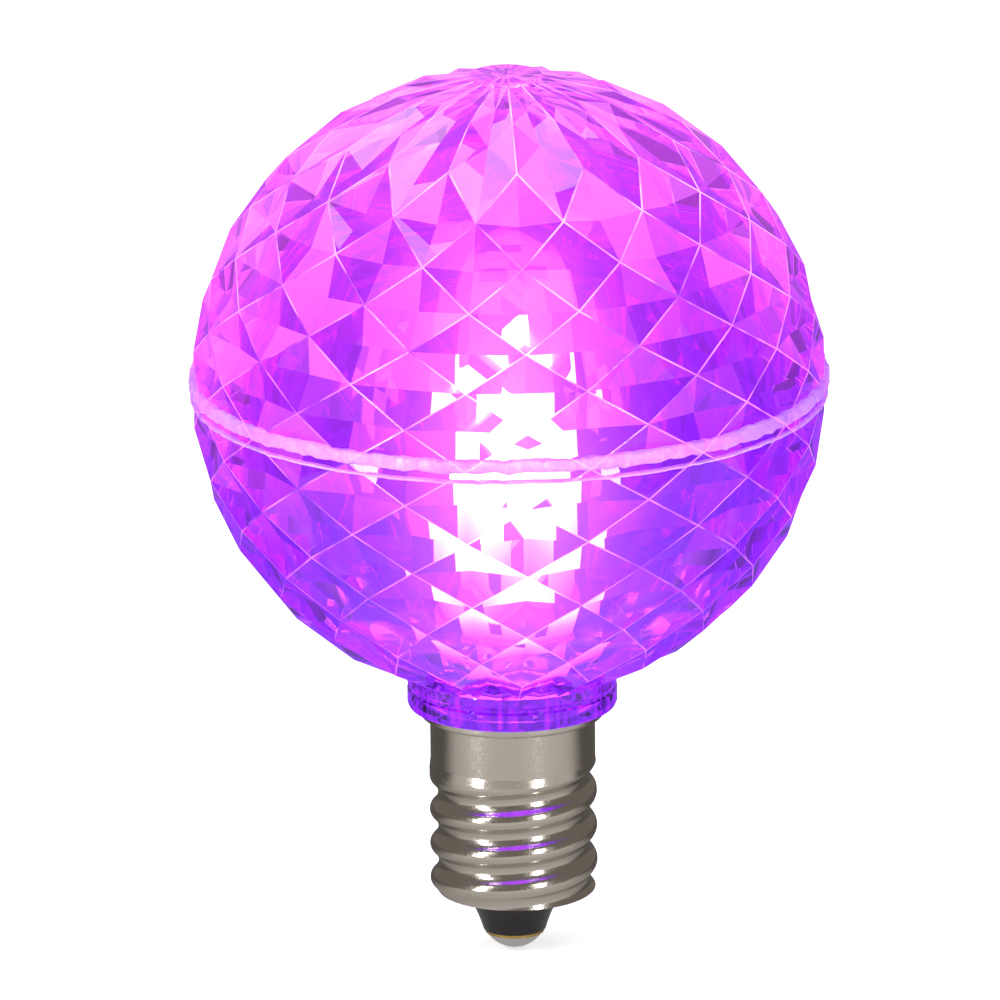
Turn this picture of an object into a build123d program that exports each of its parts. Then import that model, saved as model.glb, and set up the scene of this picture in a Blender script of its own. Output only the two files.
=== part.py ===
"""Faceted globe LED bulb with a small screw base.

A welded two-piece globe of clear violet plastic holds an upright circuit board with five
light-emitting diodes. The neck of the globe is seated in a rolled screw shell of plated brass,
closed below by a black insulator with a soldered centre contact.

Millimetres, +Z up. The origin is on the axis at the underside of the screw shell's flange.
The front of the bulb, which the diodes and the photograph's view share, is -Y.
"""
import os
from math import cos, pi, radians, sin, sqrt

from build123d import *

os.makedirs("parts", exist_ok=True)

# Globe: the ridges cross on a sphere, and every diamond between them sinks to a pit
globe_radius = 22.5
globe_wall = 2.1
facets_round = 16
facet_turn = 3.25
pit_depth = 0.65
row_latitudes = (0.0, 7.0, 14.1, 21.05, 28.45, 36.6, 45.7, 56.6)

# Crown: long flutes run from the last row up to a round gate button at the pole
crown_ridge_latitude = 70.0
crown_pit_latitude = 65.0
scoop_latitude = 75.0
scoop_depth = 0.35
crown_valley_depth = 0.12
button_radius = 2.6
button_boss_radius = 1.0
button_rise = 0.12
button_boss_rise = 0.24
button_depth = 0.9

# Weld seam round the equator, standing proud of the ridge crossings
seam_rise = 0.18
seam_height_above = 0.9
seam_height_below = 0.8
seam_seat = 0.68
seam_edge = 0.25

# Neck of the lower half: a collar above the base and a spigot inside it
collar_radius = 7.45
collar_height = 2.47
collar_lip_height = 1.3
collar_groove_height = 0.35
collar_groove_depth = 0.14
collar_edge = 0.3
foot_pit_latitude = 60.0
foot_ring_inset = 0.35
spigot_length = 2.2
spigot_clearance = 0.06
neck_bore_radius = 4.6
neck_lip_height = 1.0
neck_lip_radius = 4.0

# Screw shell: sheet rolled to a round thread, with a flange above and a floor below
land_radius = 5.865
land_length = 3.3
crest_radius = 5.95
thread_depth = 0.6
thread_pitch = 2.54
thread_crest_flat = 0.2
thread_right_valley = 4.55
thread_turns = 4
thread_runout_turns = 0.5
sheet = 0.3
flange_radius = 6.6
flange_height = 0.7
flange_edge = 0.25
shell_depth = 13.1
shell_corner = 0.5
floor_hole_radius = 3.4

# Insulator and centre contact
insulator_disc_height = 1.2
insulator_clearance = 0.05
insulator_disc_clearance = 0.2
insulator_top_radius = 3.6
insulator_waist_radius = 2.62
insulator_tip_radius = 2.24
insulator_drop = 2.9
contact_radius = 2.1
contact_thickness = 0.25
contact_shank_radius = 0.85
contact_bore_radius = 0.45
contact_shank_length = 4.4
contact_clearance = 0.04
solder_radius = 2.02
solder_drop = 1.15

# Circuit boards and the plug that holds them in the neck
plug_height = 4.0
plug_clearance = 0.05
board_thickness = 1.0
board_width = 9.0
board_tail_width = 7.0
board_drop = 0.8
board_tail_length = 7.1
slot_clearance = 0.08
cap_board_width = 8.0
cap_board_depth = 6.0
cap_board_corner = 1.0

# Diodes: a moulded package with a conical well full of clear gel
package_length = 3.5
package_width = 2.8
package_height = 1.4
package_foot = 0.5
well_radius = 1.15
well_floor_radius = 0.85
well_depth = 0.7
gel_crown = 0.2
diode_drop = 3.2

# Driver parts on the board
rectifier_length = 4.7
rectifier_width = 3.9
rectifier_height = 1.5
rectifier_leg_width = 0.6
rectifier_leg_spread = 2.5
rectifier_leg_reach = 0.9
rectifier_rise = 3.9
rectifier_clearance = 0.7
chip_length = 3.2
chip_width = 1.6
chip_height = 0.6
chip_cap = 0.5
capacitor_height = 1.3
capacitor_rise = 3.9

# Leads in the base
wire_radius = 0.3
wire_clearance = 0.05
wire_bend = 0.5
lead_overlap = 1.6
fuse_radius = 1.1
fuse_waist_radius = 0.9
fuse_length = 4.5
fuse_end = 0.9
fuse_drop = 1.7
joint_radius = 0.75
joint_inset = 0.1

# Sizes and places that follow from the ones above
globe_inner_radius = globe_radius - globe_wall
seam_radius = globe_radius + seam_rise
globe_centre_height = flange_height + collar_height + sqrt(globe_radius**2 - collar_radius**2)
neck_bottom = flange_height - spigot_length
plug_bottom = neck_bottom + neck_lip_height
plug_top = plug_bottom + plug_height
tail_bottom = plug_top - board_tail_length
board_top = globe_centre_height - board_drop
diode_upper_height = board_top - diode_drop
rectifier_centre_height = plug_top + rectifier_rise
rectifier_top = rectifier_centre_height + rectifier_length / 2
diode_lower_height = rectifier_top + rectifier_clearance + package_length / 2
resistor_height = (diode_upper_height + diode_lower_height) / 2
capacitor_centre_height = plug_top + capacitor_rise
floor_top = -shell_depth + sheet
tip_top = -shell_depth - insulator_drop
bore_radius = land_radius - sheet
half_facet = 180.0 / facets_round
globe_centre = Vector(0, 0, globe_centre_height)


def globe_point(radius, latitude, step):
    """A point in the globe, with step in half facets round from the front."""
    azimuth = radians(facet_turn + half_facet * step)
    reach = radius * cos(radians(latitude))
    height = globe_centre_height + radius * sin(radians(latitude))
    return Vector(reach * sin(azimuth), -reach * cos(azimuth), height)


def sunk(point, depth):
    """The same point moved towards the centre of the globe."""
    return point - (point - globe_centre).normalized() * depth


def pit_of(corners):
    """The bottom of the hollow between the corners of one diamond."""
    return sunk(sum(corners, Vector()) / len(corners), pit_depth)


def diamond_rows(side):
    """Facets of one half of the globe: side is 1 above the seam and -1 below it."""
    facets = []
    for row, latitude in enumerate(row_latitudes[:-1]):
        before = -row_latitudes[1] if row == 0 else row_latitudes[row - 1]
        after = row_latitudes[row + 1]
        for column in range(facets_round):
            step = 2 * column + (row % 2)
            left = globe_point(globe_radius, side * latitude, step - 1)
            right = globe_point(globe_radius, side * latitude, step + 1)
            near = globe_point(globe_radius, side * before, step)
            far = globe_point(globe_radius, side * after, step)
            pit = pit_of((left, right, near, far))
            facets += [(left, far, pit), (far, right, pit)]
            if row > 0:
                facets += [(near, left, pit), (right, near, pit)]
    return facets


def crown_facets():
    """Flutes from the last row of ridge crossings to the gate button, closed over the pole."""
    button_latitude = 90 - 180 / pi * button_radius / globe_radius
    pole = globe_point(globe_radius, 90, 0)
    facets = []
    for column in range(facets_round):
        step = 2 * column + 1
        near = globe_point(globe_radius, row_latitudes[-2], step)
        pit = sunk(globe_point(globe_radius, crown_pit_latitude, step), pit_depth)
        scoop = sunk(globe_point(globe_radius, scoop_latitude, step), scoop_depth)
        end = sunk(globe_point(globe_radius, button_latitude, step), crown_valley_depth)
        for side in (-1, 1):
            low = globe_point(globe_radius, row_latitudes[-1], step + side)
            middle = globe_point(globe_radius, crown_ridge_latitude, step + side)
            high = globe_point(globe_radius, button_latitude, step + side)
            facets += [(near, low, pit), (pit, low, middle), (pit, middle, scoop)]
            facets += [(scoop, middle, high), (scoop, high, end), (end, high, pole)]
    return facets


def foot_facets():
    """Facets from the lowest ridge crossings in to a flat ring inside the collar."""
    ring_radius = collar_radius - foot_ring_inset
    ring_latitude = 90 - 180 / pi * ring_radius / globe_radius
    ring = []
    facets = []
    for column in range(facets_round):
        step = 2 * column + 1
        near = globe_point(globe_radius, -row_latitudes[-2], step)
        pit = sunk(globe_point(globe_radius, -foot_pit_latitude, step), pit_depth)
        end = globe_point(globe_radius, -ring_latitude, step)
        ring += [globe_point(globe_radius, -ring_latitude, step - 1), end]
        for side in (-1, 1):
            low = globe_point(globe_radius, -row_latitudes[-1], step + side)
            last = globe_point(globe_radius, -ring_latitude, step + side)
            facets += [(near, low, pit), (pit, low, last), (pit, last, end)]
    return facets + [tuple(ring)]


def seam_outline():
    """The saw-tooth ring of ridge crossings and pits in the plane of the seam."""
    ring = []
    for column in range(facets_round):
        step = 2 * column
        corners = [globe_point(globe_radius, 0, step - 1), globe_point(globe_radius, 0, step + 1)]
        corners += [globe_point(globe_radius, side * row_latitudes[1], step) for side in (-1, 1)]
        ring += [corners[0], pit_of(corners)]
    return tuple(ring)


def faceted_solid(facets):
    """A closed solid from flat facets, each given by its corners."""
    faces = [Face(Wire.make_polygon(corners, close=True)) for corners in facets]
    return Solid(Shell(faces))


def threaded_core(inset):
    """The screw shell's outside, filled, or the same form set in by the sheet's thickness."""
    radius = crest_radius - inset
    bottom = -shell_depth + inset
    top = flange_height + inset * 2
    with BuildPart() as core:
        with BuildSketch(Plane.XZ):
            with BuildLine():
                Polyline(
                    (0, top),
                    (land_radius - inset, top),
                    (land_radius - inset, -land_length),
                    (radius, -land_length - thread_pitch / 4),
                    (radius, bottom + shell_corner),
                )
                RadiusArc((radius, bottom + shell_corner), (radius - shell_corner, bottom), shell_corner)
                Polyline((radius - shell_corner, bottom), (0, bottom), (0, top))
            make_face()
        revolve(axis=Axis.Z)
        lowest = -thread_right_valley - (thread_turns - 1) * thread_pitch - thread_pitch
        thread_height = thread_turns * thread_pitch
        runout_height = thread_runout_turns * thread_pitch
        groove_radius = radius - thread_depth
        cut_groove(groove_radius, lowest, thread_height, 0)
        runout_angle = 180 / pi * (thread_depth + thread_crest_flat) / runout_height
        cut_groove(groove_radius, lowest + thread_height, runout_height, runout_angle)
    return core.part


def cut_groove(root, start, height, cone_angle):
    """Cut one stretch of the round groove from the open part, beginning at +X."""
    half = thread_pitch / 2
    bend = (thread_depth**2 + half**2) / (4 * thread_depth)
    stop = half - thread_crest_flat / 2
    stop_radius = root + thread_depth - bend + sqrt(bend**2 - (half - stop) ** 2)
    middle = root + thread_depth / 2
    outside = root + thread_depth + sheet
    with BuildLine(mode=Mode.PRIVATE) as path:
        Helix(thread_pitch, height, root, center=(0, 0, start), cone_angle=cone_angle)
    with BuildSketch(Plane.XZ, mode=Mode.PRIVATE) as section:
        with BuildLine():
            RadiusArc((middle, start - half / 2), (middle, start + half / 2), bend)
            RadiusArc((middle, start + half / 2), (stop_radius, start + stop), -bend)
            Polyline(
                (stop_radius, start + stop),
                (outside, start + stop),
                (outside, start - stop),
                (stop_radius, start - stop),
            )
            RadiusArc((stop_radius, start - stop), (middle, start - half / 2), -bend)
        make_face()
    sweep(section.sketch, path=path.line, is_frenet=True, mode=Mode.SUBTRACT)


with BuildPart() as upper_globe_shell:
    add(faceted_solid(diamond_rows(1) + crown_facets() + [seam_outline()]))
    seam_top = globe_centre_height + seam_height_above
    button_top = globe_centre_height + globe_radius + button_rise
    boss_top = globe_centre_height + globe_radius + button_boss_rise
    with BuildSketch(Plane.XZ):
        with BuildLine():
            Polyline(
                (globe_inner_radius + seam_seat, globe_centre_height),
                (seam_radius, globe_centre_height),
                (seam_radius, seam_top - seam_edge),
                (seam_radius - seam_edge, seam_top),
                (globe_inner_radius + seam_seat, seam_top),
                close=True,
            )
        make_face()
    revolve(axis=Axis.Z)
    with BuildSketch(Plane.XZ):
        with BuildLine():
            Polyline(
                (0, button_top - button_depth),
                (button_radius, button_top - button_depth),
                (button_radius, button_top - button_rise),
                (button_radius - button_rise, button_top),
                (button_boss_radius, button_top),
                (button_boss_radius - button_rise, boss_top),
                (0, boss_top),
                close=True,
            )
        make_face()
    revolve(axis=Axis.Z)
    with BuildSketch(Plane.XZ):
        with BuildLine():
            RadiusArc(
                (globe_inner_radius, globe_centre_height),
                (0, globe_centre_height + globe_inner_radius),
                -globe_inner_radius,
            )
            Polyline(
                (0, globe_centre_height + globe_inner_radius),
                (0, globe_centre_height),
                (globe_inner_radius, globe_centre_height),
            )
        make_face()
    revolve(axis=Axis.Z, mode=Mode.SUBTRACT)

with BuildPart() as lower_globe_shell:
    add(faceted_solid(diamond_rows(-1) + foot_facets() + [seam_outline()]))
    seam_bottom = globe_centre_height - seam_height_below
    collar_meet = globe_centre_height - sqrt(globe_inner_radius**2 - collar_radius**2)
    groove_bottom = flange_height + collar_lip_height
    groove_top = groove_bottom + collar_groove_height
    groove_radius = collar_radius - collar_groove_depth
    inner_meet = globe_centre_height - sqrt(globe_inner_radius**2 - neck_bore_radius**2)
    with BuildSketch(Plane.XZ):
        with BuildLine():
            Polyline(
                (globe_inner_radius + seam_seat, globe_centre_height),
                (seam_radius, globe_centre_height),
                (seam_radius, seam_bottom + seam_edge),
                (seam_radius - seam_edge, seam_bottom),
                (globe_inner_radius + seam_seat, seam_bottom),
                close=True,
            )
        make_face()
    revolve(axis=Axis.Z)
    with BuildSketch(Plane.XZ):
        with BuildLine():
            Polyline(
                (0, neck_bottom),
                (bore_radius - spigot_clearance, neck_bottom),
                (bore_radius - spigot_clearance, flange_height),
                (collar_radius - collar_edge, flange_height),
            )
            RadiusArc(
                (collar_radius - collar_edge, flange_height),
                (collar_radius, flange_height + collar_edge),
                -collar_edge,
            )
            Polyline(
                (collar_radius, flange_height + collar_edge),
                (collar_radius, groove_bottom),
                (groove_radius, groove_bottom + collar_groove_depth),
                (groove_radius, groove_top),
                (collar_radius, groove_top + collar_groove_depth),
                (collar_radius, collar_meet),
                (0, collar_meet),
                (0, neck_bottom),
            )
        make_face()
    revolve(axis=Axis.Z)
    with BuildSketch(Plane.XZ):
        with BuildLine():
            Polyline(
                (0, globe_centre_height),
                (0, neck_bottom),
                (neck_lip_radius, neck_bottom),
                (neck_lip_radius, plug_bottom),
                (neck_bore_radius, plug_bottom),
                (neck_bore_radius, inner_meet),
            )
            RadiusArc(
                (neck_bore_radius, inner_meet),
                (globe_inner_radius, globe_centre_height),
                -globe_inner_radius,
            )
            Line((globe_inner_radius, globe_centre_height), (0, globe_centre_height))
        make_face()
    revolve(axis=Axis.Z, mode=Mode.SUBTRACT)

with BuildPart() as screw_shell:
    add(threaded_core(0))
    with BuildSketch(Plane.XZ):
        with BuildLine():
            Polyline(
                (bore_radius - sheet, 0),
                (flange_radius - flange_edge, 0),
            )
            RadiusArc((flange_radius - flange_edge, 0), (flange_radius, flange_edge), -flange_edge)
            Polyline(
                (flange_radius, flange_edge),
                (flange_radius, flange_height),
                (bore_radius - sheet, flange_height),
                (bore_radius - sheet, 0),
            )
        make_face()
    revolve(axis=Axis.Z)
    add(threaded_core(sheet), mode=Mode.SUBTRACT)
    with BuildSketch(Plane.XY.offset(-shell_depth)):
        Circle(floor_hole_radius)
    extrude(amount=sheet, mode=Mode.SUBTRACT)

with BuildPart() as base_insulator:
    disc_radius = crest_radius - thread_depth - sheet - insulator_disc_clearance
    neck_radius = floor_hole_radius - insulator_clearance
    with BuildSketch(Plane.XZ):
        with BuildLine():
            Polyline(
                (0, floor_top + insulator_disc_height),
                (disc_radius, floor_top + insulator_disc_height),
                (disc_radius, floor_top),
                (neck_radius, floor_top),
                (neck_radius, -shell_depth),
                (insulator_top_radius, -shell_depth),
            )
            ThreePointArc(
                (insulator_top_radius, -shell_depth),
                (insulator_waist_radius, -shell_depth - insulator_drop * 0.62),
                (insulator_tip_radius, tip_top),
            )
            Polyline(
                (insulator_tip_radius, tip_top),
                (0, tip_top),
                (0, floor_top + insulator_disc_height),
            )
        make_face()
    revolve(axis=Axis.Z)
    with BuildSketch(Plane.XY.offset(tip_top)):
        Circle(contact_shank_radius + contact_clearance)
    extrude(amount=insulator_drop + shell_depth, mode=Mode.SUBTRACT)

with BuildPart() as centre_contact:
    with BuildSketch(Plane.XY.offset(tip_top - contact_thickness)):
        Circle(contact_radius)
    extrude(amount=contact_thickness)
    with BuildSketch(Plane.XY.offset(tip_top)):
        Circle(contact_shank_radius)
    extrude(amount=contact_shank_length)
    with BuildSketch(Plane.XY.offset(tip_top - contact_thickness)):
        Circle(contact_bore_radius)
    extrude(amount=contact_shank_length + contact_thickness, mode=Mode.SUBTRACT)

with BuildPart() as tip_solder:
    solder_top = tip_top - contact_thickness
    with BuildSketch(Plane.XZ):
        with BuildLine():
            Polyline((0, solder_top - solder_drop), (0, solder_top), (solder_radius, solder_top))
            RadiusArc(
                (solder_radius, solder_top),
                (0, solder_top - solder_drop),
                (solder_radius**2 + solder_drop**2) / (2 * solder_drop),
            )
        make_face()
    revolve(axis=Axis.Z)

with BuildPart() as board_plug:
    with BuildSketch(Plane.XY.offset(plug_bottom)):
        Circle(neck_bore_radius - plug_clearance)
        Rectangle(
            board_tail_width + 2 * slot_clearance,
            board_thickness + 2 * slot_clearance,
            mode=Mode.SUBTRACT,
        )
    extrude(amount=plug_height)

with BuildPart() as circuit_board:
    with BuildSketch(Plane.XZ):
        with Locations((0, (plug_top + board_top) / 2)):
            Rectangle(board_width, board_top - plug_top)
        with Locations((0, (tail_bottom + plug_top) / 2)):
            Rectangle(board_tail_width, plug_top - tail_bottom)
    extrude(amount=board_thickness / 2, both=True)

with BuildPart() as cap_board:
    with BuildSketch(Plane.XY.offset(board_top)):
        RectangleRounded(cap_board_width, cap_board_depth, cap_board_corner)
    extrude(amount=board_thickness)

front = board_thickness / 2
diode_planes = {
    "front_upper": Plane((0, -front, diode_upper_height), x_dir=(1, 0, 0), z_dir=(0, -1, 0)),
    "front_lower": Plane((0, -front, diode_lower_height), x_dir=(1, 0, 0), z_dir=(0, -1, 0)),
    "back_upper": Plane((0, front, diode_upper_height), x_dir=(-1, 0, 0), z_dir=(0, 1, 0)),
    "back_lower": Plane((0, front, diode_lower_height), x_dir=(-1, 0, 0), z_dir=(0, 1, 0)),
    "top": Plane((0, 0, board_top + board_thickness), x_dir=(0, 1, 0), z_dir=(0, 0, 1)),
}
pieces = {
    "upper_globe_shell": upper_globe_shell,
    "lower_globe_shell": lower_globe_shell,
    "screw_shell": screw_shell,
    "base_insulator": base_insulator,
    "centre_contact": centre_contact,
    "tip_solder": tip_solder,
    "board_plug": board_plug,
    "circuit_board": circuit_board,
    "cap_board": cap_board,
}
for place, plane in diode_planes.items():
    face_plane = plane.offset(package_height)
    with BuildPart() as diode_package:
        with BuildSketch(plane):
            Rectangle(package_width, package_length)
        extrude(amount=package_foot)
        with BuildSketch(plane.offset(package_foot)):
            Rectangle(package_width, package_length)
        with BuildSketch(face_plane):
            Rectangle(package_width * 0.92, package_length * 0.92)
        loft()
        with BuildSketch(face_plane):
            Circle(well_radius)
        with BuildSketch(face_plane.offset(-well_depth)):
            Circle(well_floor_radius)
        loft(mode=Mode.SUBTRACT)
    with BuildPart() as diode_gel:
        with BuildSketch(face_plane.offset(-well_depth)):
            Circle(well_floor_radius)
        with BuildSketch(face_plane):
            Circle(well_radius)
        loft()
        with BuildSketch(face_plane):
            Circle(well_radius)
        extrude(amount=gel_crown, taper=45)
    pieces["diode_package_" + place] = diode_package
    pieces["diode_gel_" + place] = diode_gel

with BuildPart() as bridge_rectifier:
    rectifier_plane = Plane((0, front, rectifier_centre_height), x_dir=(-1, 0, 0), z_dir=(0, 1, 0))
    with BuildSketch(rectifier_plane):
        Rectangle(rectifier_width, rectifier_length)
    extrude(amount=rectifier_height)
    chamfer(bridge_rectifier.faces().sort_by(Axis.Y)[-1].edges(), length=chip_cap / 2)
    with BuildSketch(rectifier_plane):
        with GridLocations(rectifier_width + rectifier_leg_reach, rectifier_leg_spread, 2, 2):
            Rectangle(rectifier_leg_reach, rectifier_leg_width)
    extrude(amount=chip_cap)

with BuildPart() as smoothing_capacitor:
    capacitor_plane = Plane((0, -front, capacitor_centre_height), x_dir=(1, 0, 0), z_dir=(0, -1, 0))
    with BuildSketch(capacitor_plane):
        Rectangle(chip_width, chip_length)
    extrude(amount=capacitor_height)
    fillet(smoothing_capacitor.edges().filter_by(Axis.Y), radius=chip_cap / 3)

for name, side in (("front_resistor", -1), ("back_resistor", 1)):
    chip_plane = Plane((0, side * front, resistor_height), x_dir=(-side, 0, 0), z_dir=(0, side, 0))
    with BuildPart() as chip_resistor:
        with BuildSketch(chip_plane):
            Rectangle(chip_length, chip_width)
        extrude(amount=chip_height)
        with BuildSketch(chip_plane.offset(chip_height)):
            Rectangle(chip_length - 2 * chip_cap, chip_width)
        extrude(amount=chip_height / 10)
    pieces[name] = chip_resistor

wire_stand = front + wire_radius + wire_clearance
lead_top = tail_bottom + lead_overlap
fuse_top = tail_bottom - fuse_drop
fuse_bottom = fuse_top - fuse_length

with BuildPart() as fusible_resistor:
    with BuildSketch(Plane.XZ):
        with BuildLine():
            Polyline(
                (0, fuse_top),
                (fuse_radius, fuse_top),
                (fuse_radius, fuse_top - fuse_end),
                (fuse_waist_radius, fuse_top - fuse_end - wire_radius),
                (fuse_waist_radius, fuse_bottom + fuse_end + wire_radius),
                (fuse_radius, fuse_bottom + fuse_end),
                (fuse_radius, fuse_bottom),
                (0, fuse_bottom),
                close=True,
            )
        make_face()
    revolve(axis=Axis.Z)

with BuildPart() as live_lead_upper:
    with BuildLine() as live_path:
        FilletPolyline(
            (0, 0, fuse_top),
            (0, 0, fuse_top + 2 * wire_radius),
            (0, -wire_stand, tail_bottom - wire_radius),
            (0, -wire_stand, lead_top),
            radius=wire_bend,
        )
    with BuildSketch(Plane.XY.offset(fuse_top)):
        Circle(wire_radius)
    sweep()

with BuildPart() as live_lead_lower:
    with BuildSketch(Plane.XY.offset(solder_top)):
        Circle(wire_radius)
    extrude(amount=fuse_bottom - solder_top)

neutral_height = tail_bottom + wire_radius + lead_overlap / 2
with BuildPart() as neutral_lead:
    with BuildLine() as neutral_path:
        FilletPolyline(
            (0, wire_stand, neutral_height + lead_overlap),
            (0, wire_stand, neutral_height),
            (0, bore_radius - wire_radius, neutral_height),
            radius=wire_bend,
        )
    with BuildSketch(Plane.XY.offset(neutral_height + lead_overlap)):
        with Locations((0, wire_stand)):
            Circle(wire_radius)
    sweep()

with BuildPart() as neutral_solder:
    with BuildSketch(Plane.XY.offset(neutral_height - joint_radius)):
        Circle(bore_radius)
    extrude(amount=2 * joint_radius)
    with Locations((0, bore_radius - joint_inset, neutral_height)):
        Sphere(joint_radius, mode=Mode.INTERSECT)
    add(neutral_lead.part, mode=Mode.SUBTRACT)

pieces["bridge_rectifier"] = bridge_rectifier
pieces["smoothing_capacitor"] = smoothing_capacitor
pieces["fusible_resistor"] = fusible_resistor
pieces["live_lead_upper"] = live_lead_upper
pieces["live_lead_lower"] = live_lead_lower
pieces["neutral_lead"] = neutral_lead
pieces["neutral_solder"] = neutral_solder

for name, piece in pieces.items():
    piece.part.label = name
    export_step(piece.part, "parts/" + name + ".step")
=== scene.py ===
"""Faceted globe LED bulb, lit, standing base down in plain studio light.

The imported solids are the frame. The two globe halves and the weld between them are modelled
again here with the fine edges that catch the light, and every solid that stays gets the finish
of its own material. Lengths are in metres, and most defaults are written in millimetres.
"""
import math

import bmesh
import bpy
from bpy.props import FloatProperty, FloatVectorProperty, IntProperty, PointerProperty
from mathutils import Matrix, Vector


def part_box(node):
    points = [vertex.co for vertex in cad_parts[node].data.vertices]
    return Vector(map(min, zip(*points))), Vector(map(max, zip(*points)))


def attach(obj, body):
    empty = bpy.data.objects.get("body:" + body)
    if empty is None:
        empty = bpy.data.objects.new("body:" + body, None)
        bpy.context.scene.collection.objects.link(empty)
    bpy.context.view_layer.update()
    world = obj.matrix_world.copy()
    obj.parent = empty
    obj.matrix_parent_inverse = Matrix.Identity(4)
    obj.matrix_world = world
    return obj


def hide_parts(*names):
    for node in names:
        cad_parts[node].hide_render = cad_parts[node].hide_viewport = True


bl_info = {
    "name": "Faceted globe bulb",
    "version": (1, 0, 0),
    "blender": (4, 5, 0),
    "location": "3D View > Sidebar > Bulb",
    "description": "Dresses the faceted globe bulb and sets its studio",
    "category": "Object",
}

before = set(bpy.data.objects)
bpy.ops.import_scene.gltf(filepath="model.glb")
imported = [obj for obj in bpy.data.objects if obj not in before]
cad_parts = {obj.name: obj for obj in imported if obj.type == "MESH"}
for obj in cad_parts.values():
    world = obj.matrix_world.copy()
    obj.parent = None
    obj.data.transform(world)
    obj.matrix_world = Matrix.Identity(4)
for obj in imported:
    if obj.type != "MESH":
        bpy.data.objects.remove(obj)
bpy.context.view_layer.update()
MM = 0.001

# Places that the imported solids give.
SEAM_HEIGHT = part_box("upper_globe_shell")[0].z
SEAM_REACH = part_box("upper_globe_shell")[1].x
NECK_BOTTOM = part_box("lower_globe_shell")[0].z
FLANGE_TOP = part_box("screw_shell")[1].z
TIP_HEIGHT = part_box("tip_solder")[0].z
BOARD_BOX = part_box("circuit_board")

# Latitudes in degrees: the rows of ridge crossings either way from the seam, then the bend of
# the crown's ridges, its pits and its scoops, and the pits of the foot.
ROWS = (0.0, 7.0, 14.1, 21.05, 28.45, 36.6, 45.7, 56.6)
CROWN_RIDGE = 70.0
CROWN_PIT = 65.0
SCOOP = 75.0
FOOT_PIT = 60.0

# The smooth parts of a slice are divided at these steps, in half facets: over one facet from a
# column of ridge crossings, or over half a facet either side of that column.
FINE = [n / 4 for n in range(9)]
FINE_MIDDLE = [n - 1 for n in FINE]

# The crown: how deep each flute is where it meets the gate button, the height of the button's
# two steps, and the radius of the upper one.
FLUTE_END = 0.12 * MM
BUTTON_RISE = 0.119 * MM
BOSS = 1.0 * MM

# The collar's outside from top to bottom, past its groove to the rounded foot, each point as
# an inset from the collar's radius and a height above the flange, in millimetres.
COLLAR = (
    (0.0, 2.05), (0.0, 1.79), (0.14, 1.65), (0.14, 1.44), (0.0, 1.3), (0.0, 0.3), (0.09, 0.09),
    (0.3, 0.0),
)
# The spigot below it, and the radius and height of the lip at the spigot's end.
SPIGOT = 5.5 * MM
LIP_BORE = 4.0 * MM
LIP = 1.0 * MM

# Points closer than this are one point.
TOUCHING = 1e-7
# Neighbouring slices are joined where their points are closer than this.
SLICE_JOIN = 0.002 * MM
# Points of the halves this close to the seam's plane belong to a rim.
ON_RIM = 1e-6
# Angles in degrees from which an edge is drawn sharp.
FACET_SHARP = 25
WELD_SHARP = 60

# The weld: its depth under the ridge crossings, its gap to the outermost reach of the solids,
# the steps round it, the rounding of its section as a share of its width, and its lumps.
WELD_DEPTH = 0.2 * MM
WELD_GAP = 0.005 * MM
WELD_STEPS = 720
WELD_ROUNDING = 0.3
WELD_GRAIN = 0.9 / MM
WELD_SEED = 4.0

# The plastic: its index of refraction, how far from the seam the colour of the light in it
# changes, and how much higher a point on the left counts there.
PLASTIC_IOR = 1.58
GLOW_REACH = 22 * MM
GLOW_LEAN = -0.18

# The picture's width in pixels, and the sensor's in millimetres.
PICTURE = 1000.0
SENSOR = 36.0

# The soft boxes: name, place, width, height, power in watts and colour.
WARM = (1.0, 0.97, 0.93)
WHITE = (1.0, 1.0, 1.0)
LAMPS = (
    ("strip_left", (-0.078, -0.07, 0.02), 0.016, 0.09, 0.07, WARM),
    ("strip_right", (0.065, -0.1, 0.02), 0.014, 0.09, 0.06, WARM),
    ("softbox_top", (-0.12, 0.1, 0.45), 0.3, 0.3, 0.9, WHITE),
)
# The floor: half its side, and its gap to the tip.
FLOOR_REACH = 1.5
FLOOR_GAP = 0.2 * MM


def linear(hex_colour):
    """The linear colour of an sRGB hex value."""
    channels = [int(hex_colour[place : place + 2], 16) / 255 for place in (0, 2, 4)]
    return [c / 12.92 if c <= 0.04045 else ((c + 0.055) / 1.055) ** 2.4 for c in channels]


def opaque(values):
    """A colour with full alpha."""
    return (values[0], values[1], values[2], 1.0)


def length(name, description, millimetres):
    """A length setting with its default in millimetres."""
    return FloatProperty(
        name=name, description=description, default=millimetres * MM, unit="LENGTH", precision=5
    )


def angle(name, description, degrees):
    """An angle setting with its default in degrees."""
    return FloatProperty(
        name=name, description=description, default=math.radians(degrees), subtype="ANGLE"
    )


def amount(name, description, value):
    """A plain number that is never negative."""
    return FloatProperty(name=name, description=description, default=value, min=0.0)


def colour(name, description, hex_colour):
    """A colour setting with its default as an sRGB hex value."""
    return FloatVectorProperty(
        name=name, description=description, subtype="COLOR", default=linear(hex_colour),
        min=0.0, max=1.0,
    )


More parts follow.
